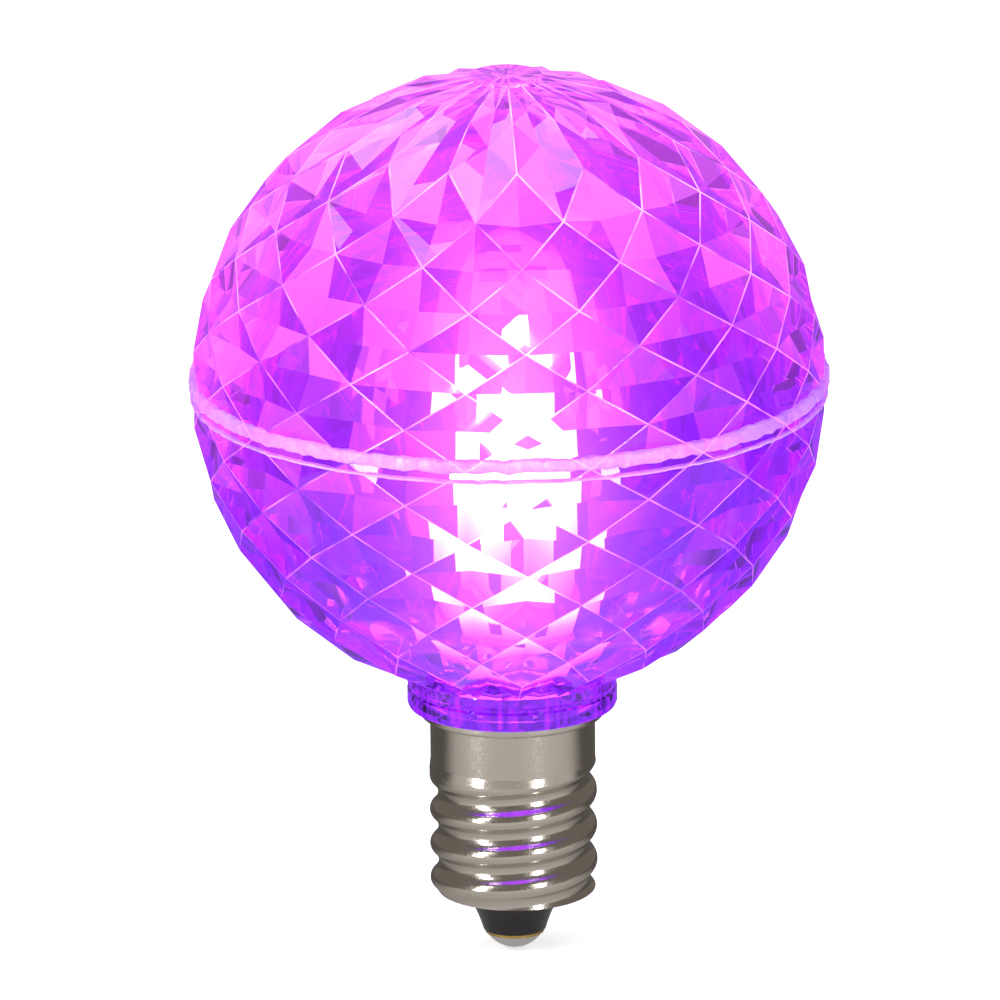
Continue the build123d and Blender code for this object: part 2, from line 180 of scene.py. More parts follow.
class GlobeSettings(bpy.types.PropertyGroup):
    """Sizes and colours of the two globe halves and their weld."""

    radius: length("Radius", "From the centre to the points where ridges cross", 22.5)
    wall: length("Wall", "From the ridge crossings to the smooth inner wall", 2.1)
    facets: IntProperty(name="Facets", description="Diamonds round the globe", default=16, min=3)
    turn: angle("Turn", "Turn of the facets from the front", 3.25)
    pit: length("Pit", "Depth of each diamond below its corners", 0.65)
    scoop: length("Scoop", "Depth of the scoops beside the button", 0.35)
    ridge: length("Ridge", "Half the width of the rounded ridges", 0.065)
    button: length("Button", "Radius of the gate button on top", 2.6)
    parting: length("Parting", "Half the gap between the two halves", 0.01)
    collar: length("Collar", "Radius of the collar above the base", 7.45)
    neck_bore: length("Neck bore", "Radius of the hole through the collar", 4.6)
    tint: colour("Tint", "Colour of light after one wall of the plastic", "BC50F7")
    glow_low: colour("Low glow", "Light held in the plastic near the base", "8E18EE")
    glow_high: colour("High glow", "Light held in the plastic above the seam", "F264FF")
    glow: amount("Glow", "Strength of the light held in the inner wall", 0.36)
    halo: amount("Halo", "Extra light in the wall in front of the diodes", 0.75)
    facet_glow: amount("Facet glow", "Strength of the light in the brightest facets", 0.8)
    ridge_glow: amount("Ridge glow", "Strength of the light caught by the ridges", 0.75)
    seed: IntProperty(name="Seed", description="Which facets catch more light", default=7)
    weld_tint: colour("Weld", "Frosted weld between the halves", "F3C8FF")


class BaseSettings(bpy.types.PropertyGroup):
    """Colours of the metal base."""

    nickel: colour("Nickel", "Plated screw shell", "C8C3BC")
    brass: colour("Brass", "Contact disc and rivet", "C8A866")
    solder: colour("Solder", "Tip of the centre contact", "DADAE0")
    insulator: colour("Insulator", "Black moulded insulator", "131115")


class LightSettings(bpy.types.PropertyGroup):
    """The light of the diodes and of the white board they stand on."""

    lit: colour("Lit", "Colour of the lit gel", "FFD8FF")
    strength: amount("Gel", "Glow of the gel", 120.0)
    board: amount("Board", "Glow of the board between the diodes", 22.0)


class StageSettings(bpy.types.PropertyGroup):
    """Camera and floor."""

    distance: length("Distance", "Camera to the centre of the globe", 1500.0)
    elevation: angle("Elevation", "Camera above the globe's centre", 16.4)
    focal_pixels: amount("Focal length", "In pixels of the thousand pixel picture", 21234.0)
    centre_x: amount("Centre X", "Centre of the globe in the picture, in pixels", 509.0)
    centre_y: amount("Centre Y", "Centre of the globe in the picture, in pixels", 382.0)
    roll: angle("Roll", "Lean of the picture", -0.6)
    floor: colour("Floor", "Matt floor under the bulb", "FFFFFF")


def new_tree(name):
    """An empty material and its node tree."""
    material = bpy.data.materials.new(name)
    material.use_nodes = True
    material.cycles.emission_sampling = "NONE"
    material.node_tree.nodes.clear()
    return material, material.node_tree


def new_group(name, sockets):
    """An empty geometry node tree that makes geometry, and the outputs of its input node."""
    tree = bpy.data.node_groups.new(name, "GeometryNodeTree")
    for label, kind in sockets:
        tree.interface.new_socket(label, in_out="INPUT", socket_type="NodeSocket" + kind)
    tree.interface.new_socket("Geometry", in_out="OUTPUT", socket_type="NodeSocketGeometry")
    return tree, add_node(tree, "NodeGroupInput").outputs


def add_node(tree, kind, settings=None, **links):
    """One node, with its attributes or inputs set and with sockets linked to its inputs.

    A link is named after its input, or i0, i1 and so on by the input's number.
    """
    node = tree.nodes.new(kind)
    for key, value in (settings or {}).items():
        if isinstance(key, str) and hasattr(node, key):
            setattr(node, key, value)
        else:
            node.inputs[key].default_value = value
    for key, socket in links.items():
        target = int(key[1:]) if key[1:].isdigit() else key.replace("_", " ")
        tree.links.new(socket, node.inputs[target])
    return node


def in_use(sockets, name=None):
    """The first socket that the node's data type uses, of a given name if there is one."""
    return next(s for s in sockets if s.enabled and name in (None, s.name))


def calculate(tree, operation, first, second):
    """The result of one operation on a socket and another socket or a number."""
    node = add_node(tree, "ShaderNodeMath", {"operation": operation}, i0=first)
    if isinstance(second, bpy.types.NodeSocket):
        tree.links.new(second, node.inputs[1])
    else:
        node.inputs[1].default_value = second
    return node.outputs[0]


def rescale(tree, socket, source=(0.0, 1.0), target=(0.0, 1.0), curve="LINEAR"):
    """A value carried from one range to another and held at its ends."""
    return add_node(tree, "ShaderNodeMapRange", {
        "interpolation_type": curve, "From Min": source[0], "From Max": source[1],
        "To Min": target[0], "To Max": target[1],
    }, Value=socket).outputs[0]


def axes(tree):
    """The X, Y and Z of a point in the object's own space."""
    place = add_node(tree, "ShaderNodeTexCoord")
    return add_node(tree, "ShaderNodeSeparateXYZ", Vector=place.outputs["Object"]).outputs


def grain(tree, size_mm, stretch=(1.0, 1.0, 1.0), detail=3.0):
    """Noise in the object's own space, with features of the given size."""
    place = add_node(tree, "ShaderNodeTexCoord")
    scaled = add_node(tree, "ShaderNodeMapping", {"Scale": stretch}, Vector=place.outputs["Object"])
    settings = {"Scale": 1 / (size_mm * MM), "Detail": detail}
    return add_node(tree, "ShaderNodeTexNoise", settings, Vector=scaled.outputs[0]).outputs[0]


def bumps(tree, height, strength, depth_mm):
    """The normal of a surface that a value raises."""
    settings = {"Strength": strength, "Distance": depth_mm * MM}
    return add_node(tree, "ShaderNodeBump", settings, Height=height).outputs[0]


def ramp(tree, socket, start, end, stops):
    """Colours along a value that runs from start to end."""
    node = add_node(tree, "ShaderNodeValToRGB", Fac=rescale(tree, socket, (start, end)))
    elements = node.color_ramp.elements
    while len(elements) < len(stops):
        elements.new(0.5)
    for element, (place, values) in zip(elements, stops):
        element.position = place
        element.color = opaque(values)
    return node.outputs[0]


def surface(tree, settings, **links):
    """Links a principled shader to the material's output."""
    shader = add_node(tree, "ShaderNodeBsdfPrincipled", settings, **links)
    add_node(tree, "ShaderNodeOutputMaterial", Surface=shader.outputs[0])


def where_mirrored(tree, plain, mirrored):
    """One shader, with another in its place in what metal mirrors."""
    path = add_node(tree, "ShaderNodeLightPath")
    return add_node(tree, "ShaderNodeMixShader", i0=path.outputs["Is Glossy Ray"],
                    i1=plain.outputs[0], i2=mirrored.outputs[0]).outputs[0]


def clear_plastic(tint, roughness, through=1.0):
    """The shader's values for tinted polycarbonate."""
    return {
        "Base Color": opaque(tint), "Roughness": roughness, "IOR": PLASTIC_IOR,
        "Transmission Weight": through,
    }


def height_glow(tree, settings):
    """Light in the plastic by height and side: magenta above and to the left, violet below."""
    point = axes(tree)
    level = calculate(tree, "ADD", point["Z"], calculate(tree, "MULTIPLY", point["X"], GLOW_LEAN))
    return ramp(tree, level, SEAM_HEIGHT - GLOW_REACH, SEAM_HEIGHT + GLOW_REACH, [
        (0.0, settings.glow_low), (0.36, settings.glow_low), (0.66, settings.glow_high),
        (1.0, linear("FF90FF")),
    ])


def near_diodes(tree, across, along, lift, most):
    """A value that is greatest in front of the diodes and falls away to nothing."""
    place = add_node(tree, "ShaderNodeTexCoord")
    spot = add_node(tree, "ShaderNodeMapping", {
        "Scale": (1 / across, 0.0, 1 / along),
        "Location": (0.0, 0.0, -(SEAM_HEIGHT + lift) / along),
    }, Vector=place.outputs["Object"])
    away = add_node(tree, "ShaderNodeVectorMath", {"operation": "LENGTH"}, i0=spot.outputs[0])
    return rescale(tree, away.outputs["Value"], target=(most, 0.0), curve="SMOOTHSTEP")


def clear_violet(settings):
    """Polycarbonate dyed clear violet, polished: sharp refraction, and some facets catch light."""
    material, tree = new_tree("polycarbonate_violet_clear")
    facet = add_node(tree, "ShaderNodeAttribute", {"attribute_name": "facet_light"})
    # Four facets in ten stay dim.
    strength = rescale(tree, facet.outputs["Fac"], source=(0.4, 1.0),
                       target=(0.03, settings.facet_glow))
    surface(tree, clear_plastic(settings.tint, roughness=0.01),
            Emission_Color=height_glow(tree, settings), Emission_Strength=strength)
    return material


def ridge_violet(settings):
    """The rounded ridges of the same plastic, which catch the diodes' light as pink lines."""
    material, tree = new_tree("polycarbonate_violet_ridge")
    glow = ramp(tree, axes(tree)["Z"], SEAM_HEIGHT - GLOW_REACH, SEAM_HEIGHT + GLOW_REACH, [
        (0.0, linear("B050FF")), (0.35, linear("D078FF")), (0.6, linear("FF9CFF")),
        (1.0, linear("FFD4FF")),
    ])
    # The light comes and goes along a ridge.
    noise = grain(tree, size_mm=3.2, detail=2.0)
    uneven = rescale(tree, noise, source=(0.38, 0.66), target=(0.12, 1.6 * settings.ridge_glow))
    near = near_diodes(tree, across=9 * MM, along=20 * MM, lift=-4 * MM, most=1.8)
    surface(tree, clear_plastic(settings.tint, roughness=0.12), Emission_Color=glow,
            Emission_Strength=calculate(tree, "ADD", uneven, near))
    return material


def lit_violet(settings):
    """The same plastic inside, where light held in it shows magenta above and violet below."""
    material, tree = new_tree("polycarbonate_violet_lit")
    near = near_diodes(tree, across=13 * MM, along=22 * MM, lift=-2 * MM, most=1.0)
    strength = rescale(tree, near, target=(settings.glow, settings.glow + settings.halo))
    colours = add_node(tree, "ShaderNodeMix", {"data_type": "RGBA"}, Factor=near)
    held, halo = [s for s in colours.inputs if s.type == "RGBA"]
    tree.links.new(height_glow(tree, settings), held)
    halo.default_value = opaque(linear("FFC8FF"))
    mixed = [s for s in colours.outputs if s.type == "RGBA"][0]
    surface(tree, clear_plastic(settings.tint, roughness=0.02),
            Emission_Color=mixed, Emission_Strength=strength)
    return material


def frosted_weld(settings):
    """Melted and set polycarbonate: milky, rough and lit from inside."""
    material, tree = new_tree("polycarbonate_weld_frosted")
    noise = grain(tree, size_mm=0.35)
    glow = ramp(tree, noise, start=0.36, end=0.66, stops=[
        (0.0, linear("7A20D8")), (0.45, linear("C458F4")), (1.0, settings.weld_tint),
    ])
    milky = clear_plastic(settings.weld_tint, roughness=0.4, through=0.8)
    surface(tree, {**milky, "Emission Strength": 0.17},
            Normal=bumps(tree, noise, strength=0.8, depth_mm=0.08), Emission_Color=glow)
    return material


def metal(name, values, rough, size_mm, bump_mm, stretch=(1.0, 1.0, 1.0)):
    """A bare metal whose roughness varies within a range from place to place."""
    material, tree = new_tree(name)
    noise = grain(tree, size_mm, stretch)
    surface(tree, {"Base Color": opaque(values), "Metallic": 1.0},
            Roughness=rescale(tree, noise, source=(0.3, 0.7), target=rough),
            Normal=bumps(tree, noise, strength=0.5, depth_mm=bump_mm))
    return material


def moulded(name, values, roughness, size_mm=0.3, bump_mm=0.01, glow=0.0, glow_colour=None):
    """A moulded, fired or lacquered surface of one colour with a fine grain."""
    material, tree = new_tree(name)
    surface(tree, {
        "Base Color": opaque(values), "Roughness": roughness,
        "Emission Color": opaque(glow_colour or values), "Emission Strength": glow,
    }, Normal=bumps(tree, grain(tree, size_mm), strength=0.4, depth_mm=bump_mm))
    return material


def lit_board(settings):
    """White solder mask washed out by the diodes: brightest between them, dimmer by the neck."""
    material, tree = new_tree("laminate_white_lit")
    glow = ramp(tree, axes(tree)["Z"], BOARD_BOX[0].z, BOARD_BOX[1].z, [
        (0.0, (0.0, 0.0, 0.0)), (0.26, (0.02, 0.01, 0.05)), (0.42, (0.5, 0.18, 0.7)),
        (0.6, settings.lit), (1.0, settings.lit),
    ])
    surface(tree, {
        "Base Color": opaque(linear("F4F2EE")), "Roughness": 0.4,
        "Emission Strength": settings.board,
    }, Emission_Color=glow)
    return material


class Slice:
    """One slice of a globe half, from one column of ridges to the next, made face by face."""

    def __init__(self, settings, side):
        self.settings = settings
        self.side = side
        self.centre = Vector((0, 0, SEAM_HEIGHT))
        self.inner_radius = settings.radius - settings.wall
        self.step = math.pi / settings.facets
        self.mesh = bmesh.new()
        self.weight = self.mesh.edges.layers.float.new("bevel_weight_edge")
        self.inner = self.mesh.faces.layers.int.new("inner_wall")

    def ring(self, radius, height, step):
        """A point at a radius and height, with step in half facets round from the front."""
        turn = self.settings.turn + self.step * step
        return Vector((radius * math.sin(turn), -radius * math.cos(turn), height))

    def point(self, latitude, step, depth=0.0):
        """A point of the lattice, sunk towards the globe's centre by a depth."""
        radius = self.settings.radius - depth
        rise = self.side * radius * math.sin(math.radians(latitude))
        return self.ring(radius * math.cos(math.radians(latitude)), SEAM_HEIGHT + rise, step)

    def pit(self, corners):
        """The bottom of a diamond."""
        middle = sum(corners, Vector()) / len(corners)
        return middle - (middle - self.centre).normalized() * self.settings.pit

    def face(self, points, ridges=(), inside=False, smooth=False):
        """One face, with some of its edges marked as ridges."""
        made = self.mesh.faces.new([self.mesh.verts.new(p) for p in points])
        made[self.inner] = int(inside)
        made.smooth = smooth
        for edge in made.edges:
            ends = [v.co for v in edge.verts]
            for ridge in ridges:
                if all(min((end - corner).length for corner in ridge) < TOUCHING for end in ends):
                    edge[self.weight] = 1.0

    def diamonds(self):
        """The rows of sunk diamonds from the seam to the last ridge crossings."""
        for row, latitude in enumerate(ROWS[:-1]):
            before = -ROWS[1] if row == 0 else ROWS[row - 1]
            step = row % 2
            left, right = self.point(latitude, step - 1), self.point(latitude, step + 1)
            near, far = self.point(before, step), self.point(ROWS[row + 1], step)
            pit = self.pit((left, right, near, far))
            self.face((left, far, pit), [(left, far)])
            self.face((far, right, pit), [(far, right)])
            if row > 0:
                self.face((near, left, pit), [(near, left)])
                self.face((right, near, pit), [(right, near)])
            else:
                rim = [self.ring(self.inner_radius, SEAM_HEIGHT, s) for s in FINE_MIDDLE]
                self.face([left] + rim + [right, pit])

    def band(self, profile, steps, inside=False):
        """Smooth quads between the points of a profile, each a radius and a height."""
        for (r0, z0), (r1, z1) in zip(profile, profile[1:]):
            for s0, s1 in zip(steps, steps[1:]):
                corners = [self.ring(r0, z0, s0), self.ring(r1, z1, s0)]
                corners += [self.ring(r1, z1, s1), self.ring(r0, z0, s1)]
                if r0 < TOUCHING:
                    corners = corners[:3]
                if r1 < TOUCHING:
                    corners = [corners[0], corners[1], corners[3]]
                self.face(corners, inside=inside, smooth=True)

    def fan(self, coarse, fine):
        """Triangles that join a ring of three points to a ring of nine."""
        for start in (0, 1):
            a, b = self.ring(*coarse, start), self.ring(*coarse, start + 1)
            f = [self.ring(*fine, start + n / 4) for n in range(5)]
            for points in ((a, f[0], f[1]), (a, f[1], f[2]), (a, f[2], b)):
                self.face(points, smooth=True)
            for points in ((b, f[2], f[3]), (b, f[3], f[4])):
                self.face(points, smooth=True)

    def arc(self, start, end, count):
        """Radii and heights along the inner wall, between two latitudes."""
        angles = [math.radians(start + (end - start) * n / count) for n in range(count + 1)]
        radius = self.inner_radius
        return [(radius * math.cos(a), SEAM_HEIGHT + radius * math.sin(a)) for a in angles]

    def finish(self, name):
        """The slice as an object."""
        bmesh.ops.remove_doubles(self.mesh, verts=self.mesh.verts, dist=TOUCHING)
        data = bpy.data.meshes.new(name)
        self.mesh.to_mesh(data)
        self.mesh.free()
        piece = bpy.data.objects.new(name, data)
        bpy.context.scene.collection.objects.link(piece)
        return piece


def upper_slice(settings):
    """Diamonds, crown flute, gate button and inner wall of one slice of the upper half."""
    part = Slice(settings, 1)
    part.diamonds()
    top = SEAM_HEIGHT + settings.radius
    by_button = 90 - math.degrees(settings.button / settings.radius)
    near = part.point(ROWS[-2], 1)
    pit = part.point(CROWN_PIT, 1, settings.pit)
    scoop = part.point(SCOOP, 1, settings.scoop)
    end = part.point(by_button, 1, FLUTE_END)
    rim_middle = part.ring(settings.button, top, 1)
    for step in (0, 2):
        low, middle = part.point(ROWS[-1], step), part.point(CROWN_RIDGE, step)
        high, rim = part.point(by_button, step), part.ring(settings.button, top, step)
        ridges = [(near, low), (low, middle), (middle, high)]
        faces = [(near, low, pit), (pit, low, middle), (pit, middle, scoop)]
        faces += [(scoop, middle, high), (scoop, high, end), (end, high, rim, rim_middle)]
        for points in faces:
            part.face(points, ridges)
    part.fan((settings.button, top), (settings.button - BUTTON_RISE, top + BUTTON_RISE))
    button = [(settings.button - BUTTON_RISE, top + BUTTON_RISE), (BOSS, top + BUTTON_RISE)]
    button += [(BOSS - BUTTON_RISE, top + 2 * BUTTON_RISE), (0.0, top + 2 * BUTTON_RISE)]
    part.band(button, FINE)
    inner = part.arc(start=90, end=0, count=30)
    inner[0] = (0.0, inner[0][1])
    part.band(inner, FINE_MIDDLE, inside=True)
    return part.finish("globe_upper")


def lower_slice(settings):
    """Diamonds, foot, collar, spigot and inner wall of one slice of the lower half."""
    part = Slice(settings, -1)
    part.diamonds()
    foot = math.degrees(math.acos(settings.collar / settings.radius))
    near = part.point(ROWS[-2], 1)
    pit = part.point(FOOT_PIT, 1, settings.pit)
    end = part.point(foot, 1)
    for step in (0, 2):
        low, last = part.point(ROWS[-1], step), part.point(foot, step)
        for points in ((near, low, pit), (pit, low, last), (pit, last, end)):
            part.face(points, [(near, low), (low, last)])
    outer = [(settings.collar - inset * MM, FLANGE_TOP + rise * MM) for inset, rise in COLLAR]
    part.fan((settings.collar, end.z), outer[0])
    outer += [(SPIGOT, FLANGE_TOP), (SPIGOT, NECK_BOTTOM), (LIP_BORE, NECK_BOTTOM)]
    outer += [(LIP_BORE, NECK_BOTTOM + LIP), (settings.neck_bore, NECK_BOTTOM + LIP)]
    neck = -math.degrees(math.acos(settings.neck_bore / part.inner_radius))
    inner = part.arc(start=neck, end=0, count=28)
    part.band(outer + inner[:1], FINE)
    part.band(inner, FINE_MIDDLE, inside=True)
    return part.finish("globe_lower")


def repeat_round():
    """Geometry nodes that repeat a slice round the axis, weld it and set its two materials."""
    tree, source = new_group("repeat_round", (
        ("Geometry", "Geometry"), ("Count", "Int"), ("Weld", "Float"), ("Seed", "Int"),
        ("Outside", "Material"), ("Inside", "Material"),
    ))
    places = add_node(tree, "GeometryNodeMeshLine", {"mode": "OFFSET", "Offset": (0, 0, 0)},
                      Count=source["Count"])
    index = add_node(tree, "GeometryNodeInputIndex")
    share = calculate(tree, "DIVIDE", index.outputs[0], source["Count"])
    turn = calculate(tree, "MULTIPLY", share, 2 * math.pi)
    rotation = add_node(tree, "ShaderNodeCombineXYZ", Z=turn)
    copies = add_node(tree, "GeometryNodeInstanceOnPoints", Points=places.outputs[0],
                      Instance=source["Geometry"], Rotation=rotation.outputs[0])
    real = add_node(tree, "GeometryNodeRealizeInstances", Geometry=copies.outputs[0])
    weld = add_node(tree, "GeometryNodeMergeByDistance", Geometry=real.outputs[0],
                    Distance=source["Weld"])
    chance = add_node(tree, "FunctionNodeRandomValue", {"data_type": "FLOAT"},
                      Seed=source["Seed"])
    light = add_node(tree, "GeometryNodeStoreNamedAttribute", {
        "data_type": "FLOAT", "domain": "FACE", "Name": "facet_light",
    }, Geometry=weld.outputs[0])
    tree.links.new(in_use(chance.outputs), in_use(light.inputs, "Value"))
    outside = add_node(tree, "GeometryNodeSetMaterial", Geometry=light.outputs[0],
                       Material=source["Outside"])
    inner = add_node(tree, "GeometryNodeInputNamedAttribute", {
        "data_type": "BOOLEAN", "Name": "inner_wall",
    })
    inside = add_node(tree, "GeometryNodeSetMaterial", Geometry=outside.outputs[0],
                      Selection=in_use(inner.outputs), Material=source["Inside"])
    add_node(tree, "NodeGroupOutput", i0=inside.outputs[0])
    return tree


def set_inputs(modifier, tree, **values):
    """Sets a node modifier's inputs by the sockets' own identifiers."""
    modifier.node_group = tree
    for item in tree.interface.items_tree:
        if item.item_type == "SOCKET" and item.in_out == "INPUT" and item.name in values:
            modifier[item.identifier] = values[item.name]


def settle(piece):
    """Keeps the evaluated result of a piece's modifiers as its plain mesh."""
    graph = bpy.context.evaluated_depsgraph_get()
    data = bpy.data.meshes.new_from_object(piece.evaluated_get(graph))
    piece.modifiers.clear()
    piece.data = data


def face_out(piece, sharp_degrees):
    """Checks that a mesh is closed, turns its faces outward and marks its sharp edges."""
    work = bmesh.new()
    work.from_mesh(piece.data)
    bmesh.ops.recalc_face_normals(work, faces=work.faces)
    if work.calc_volume(signed=True) < 0:
        bmesh.ops.reverse_faces(work, faces=work.faces)
    left_open = sum(len(edge.link_faces) != 2 for edge in work.edges)
    if left_open:
        raise RuntimeError(f"{piece.name} has {left_open} open edges")
    work.to_mesh(piece.data)
    work.free()
    piece.data.set_sharp_from_angle(angle=math.radians(sharp_degrees))


def globe_half(part, settings, tree, finishes, side, node):
    """A whole half: the slice repeated, its rim set back from the seam and its ridges rounded."""
    outside, inside, ridge = finishes
    modifier = part.modifiers.new("repeat", "NODES")
    set_inputs(modifier, tree, Count=settings.facets, Weld=SLICE_JOIN, Seed=settings.seed,
               Outside=outside, Inside=inside)
    settle(part)
    face_out(part, FACET_SHARP)
    for vertex in part.data.vertices:
        if abs(vertex.co.z - SEAM_HEIGHT) < ON_RIM:
            vertex.co.z += side * settings.parting
    bevel = part.modifiers.new("ridges", "BEVEL")
    bevel.limit_method = "WEIGHT"
    bevel.width = settings.ridge
    bevel.segments = 2
    bevel.use_clamp_overlap = False
    # The nodes leave the first slot empty and unused, so it takes the ridges' material.
    part.data.materials[0] = ridge
    bevel.material = 0
    settle(part)
    face_out(part, FACET_SHARP)
    place(part, "clear_violet_plastic", node)


def weld_round():
    """Geometry nodes that sweep the weld's section round the seam and roughen it with noise."""
    tree, source = new_group("weld_round", (
        ("Radius", "Float"), ("Width", "Float"), ("Height", "Float"), ("Rough", "Float"),
        ("Grain", "Float"), ("Count", "Int"), ("Seed", "Float"), ("Surface", "Material"),
    ))
    path = add_node(tree, "GeometryNodeCurvePrimitiveCircle", Resolution=source["Count"],
                    Radius=source["Radius"])
    section = add_node(tree, "GeometryNodeCurvePrimitiveQuadrilateral", {"mode": "RECTANGLE"},
                       Width=source["Width"], Height=source["Height"])
    soft = add_node(tree, "GeometryNodeFilletCurve", {"mode": "POLY", "Count": 4},
                    Curve=section.outputs[0],
                    Radius=calculate(tree, "MULTIPLY", source["Width"], WELD_ROUNDING))
    ring = add_node(tree, "GeometryNodeCurveToMesh", Curve=path.outputs[0],
                    Profile_Curve=soft.outputs[0])
    noise = add_node(tree, "ShaderNodeTexNoise", {"noise_dimensions": "4D", "Detail": 3.0},
                     Scale=source["Grain"], W=source["Seed"])
    centred = add_node(tree, "ShaderNodeVectorMath", {
        "operation": "SUBTRACT", 1: (0.5, 0.5, 0.5),
    }, i0=noise.outputs["Color"])
    push = add_node(tree, "ShaderNodeVectorMath", {"operation": "SCALE"},
                    i0=centred.outputs[0], Scale=source["Rough"])
    rough = add_node(tree, "GeometryNodeSetPosition", Geometry=ring.outputs[0],
                     Offset=push.outputs[0])
    painted = add_node(tree, "GeometryNodeSetMaterial", Geometry=rough.outputs[0],
                       Material=source["Surface"])
    add_node(tree, "NodeGroupOutput", i0=painted.outputs[0])
    return tree


def weld_bead(name, settings, tree, material, height, width, offset, rough):
    """One bead of melted plastic round the seam, at a height above its plane."""
    piece = bpy.data.objects.new(name, bpy.data.meshes.new(name))
    bpy.context.scene.collection.objects.link(piece)
    modifier = piece.modifiers.new("weld", "NODES")
    set_inputs(modifier, tree, Radius=settings.radius - WELD_DEPTH, Width=width, Height=height,
               Rough=rough, Grain=WELD_GRAIN, Count=WELD_STEPS, Seed=WELD_SEED, Surface=material)
    settle(piece)
    limit = SEAM_REACH - WELD_GAP
    for vertex in piece.data.vertices:
        vertex.co.z += SEAM_HEIGHT + offset
        reach = math.hypot(vertex.co.x, vertex.co.y)
        if reach > limit:
            vertex.co.x *= limit / reach
            vertex.co.y *= limit / reach
    face_out(piece, WELD_SHARP)
    piece.data.shade_smooth()
    place(piece, "clear_violet_plastic")


def place(piece, slot, *nodes):
    """Hangs a finished piece on the frame, in place of the nodes that it stands for."""
    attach(piece, "root")
    if nodes:
        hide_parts(*nodes)


def finish_node(name, material):
    """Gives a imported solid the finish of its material."""
    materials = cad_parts[name].data.materials
    materials.clear()
    materials.append(material)


class BULB_OT_globe(bpy.types.Operator):
    """Builds the upper and lower halves of the globe"""

    bl_idname = "bulb.globe"
    bl_label = "Globe halves"

    def execute(self, context):
        settings = context.scene.bulb_globe
        tree = repeat_round()
        finishes = clear_violet(settings), lit_violet(settings), ridge_violet(settings)
        upper, lower = upper_slice(settings), lower_slice(settings)
        globe_half(upper, settings, tree, finishes, 1, "upper_globe_shell")
        globe_half(lower, settings, tree, finishes, -1, "lower_globe_shell")
        return {"FINISHED"}


class BULB_OT_weld(bpy.types.Operator):
    """Builds the frosted weld round the seam"""

    bl_idname = "bulb.weld"
    bl_label = "Weld"

    def execute(self, context):
        settings = context.scene.bulb_globe
        tree = weld_round()
        frosted = frosted_weld(settings)
        weld_bead("weld_seam", settings, tree, frosted,
                  height=0.95 * MM, width=0.62 * MM, offset=0.4 * MM, rough=0.7 * MM)
        weld_bead("weld_flash", settings, tree, frosted,
                  height=0.24 * MM, width=0.5 * MM, offset=-0.72 * MM, rough=0.25 * MM)
        return {"FINISHED"}


class BULB_OT_base(bpy.types.Operator):
    """Finishes the screw shell, insulator, contact and solder"""

    bl_idname = "bulb.base"
    bl_label = "Base"

    def execute(self, context):
        settings = context.scene.bulb_base
        nickel = metal("nickel_plated_brass", settings.nickel, rough=(0.12, 0.26), size_mm=0.12,
                       bump_mm=0.01, stretch=(1, 1, 0.5))
        solder = metal("tin_solder", settings.solder, rough=(0.35, 0.6), size_mm=0.45,
                       bump_mm=0.1)
        brass = metal("brass_bare", settings.brass, rough=(0.2, 0.35), size_mm=0.2, bump_mm=0.01)
        black = moulded("phenolic_black", settings.insulator, roughness=0.16, size_mm=0.5,
                        bump_mm=0.004)
        finish_node("screw_shell", nickel)
        finish_node("tip_solder", solder)
        finish_node("neutral_solder", solder)
        finish_node("centre_contact", brass)
        finish_node("base_insulator", black)
        return {"FINISHED"}


class BULB_OT_inside(bpy.types.Operator):
    """Finishes the boards, driver parts, leads and diodes"""

    bl_idname = "bulb.inside"
    bl_label = "Boards and diodes"

    def execute(self, context):
        settings = context.scene.bulb_light
        board = lit_board(settings)
        # The cap board's white laminate, with a painted glow in the lit colour of the gel.
        cap = moulded("laminate_white_cap_painted_glow", linear("F4F2EE"), roughness=0.4, glow=1.2,
                      glow_colour=settings.lit)
        white = moulded("polyamide_white", linear("ECEAE6"), roughness=0.4)
        package = moulded("polyphthalamide_white_lit", linear("F6F4F2"), roughness=0.4,
                          glow=settings.board, glow_colour=settings.lit)
        gel = moulded("silicone_gel_lit", linear("FFE8B0"), roughness=0.15,
                      glow=settings.strength, glow_colour=settings.lit)
        black = moulded("epoxy_black", linear("1A1A1C"), roughness=0.35)
        wire = metal("copper_tinned", linear("D0CFCC"), rough=(0.2, 0.35), size_mm=0.2,
                     bump_mm=0.005)
        lacquer = moulded("lacquer_blue_grey", linear("5C7E8C"), roughness=0.3)
        ceramic = moulded("ceramic_tan", linear("B08A5A"), roughness=0.4)
        by_prefix = (
            ("circuit_board", board), ("cap_board", cap), ("board_plug", white),
            ("diode_package", package), ("diode_gel", gel), ("bridge_rectifier", black),
            ("smoothing_capacitor", ceramic), ("front_resistor", black), ("back_resistor", black),
            ("fusible_resistor", lacquer), ("live_lead", wire), ("neutral_lead", wire),
        )
        for prefix, material in by_prefix:
            for name in [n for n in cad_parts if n.startswith(prefix)]:
                finish_node(name, material)
        return {"FINISHED"}


def studio_world():
    """White behind the bulb, and a warm grey room for the metal to mirror."""
    world = bpy.data.worlds.new("studio")
    world.use_nodes = True
    tree = world.node_tree
    tree.nodes.clear()
    white = add_node(tree, "ShaderNodeBackground", {"Color": opaque(WHITE), "Strength": 1.0})
    room = add_node(tree, "ShaderNodeBackground", {
        "Color": opaque(linear("8C857C")), "Strength": 0.8,
    })
    add_node(tree, "ShaderNodeOutputWorld", Surface=where_mirrored(tree, white, room))
    return world


def area_lamp(name, position, width, height, power, tint):
    """A soft box turned towards the base."""
    data = bpy.data.lights.new(name, "AREA")
    data.shape = "RECTANGLE"
    data.size, data.size_y = width, height
    data.energy = power
    data.color = tint
    lamp = bpy.data.objects.new(name, data)
    lamp.location = position
    lamp.visible_camera = False
    lamp.rotation_euler = (-Vector(position)).to_track_quat("-Z", "Y").to_euler()
    bpy.context.scene.collection.objects.link(lamp)
    return lamp


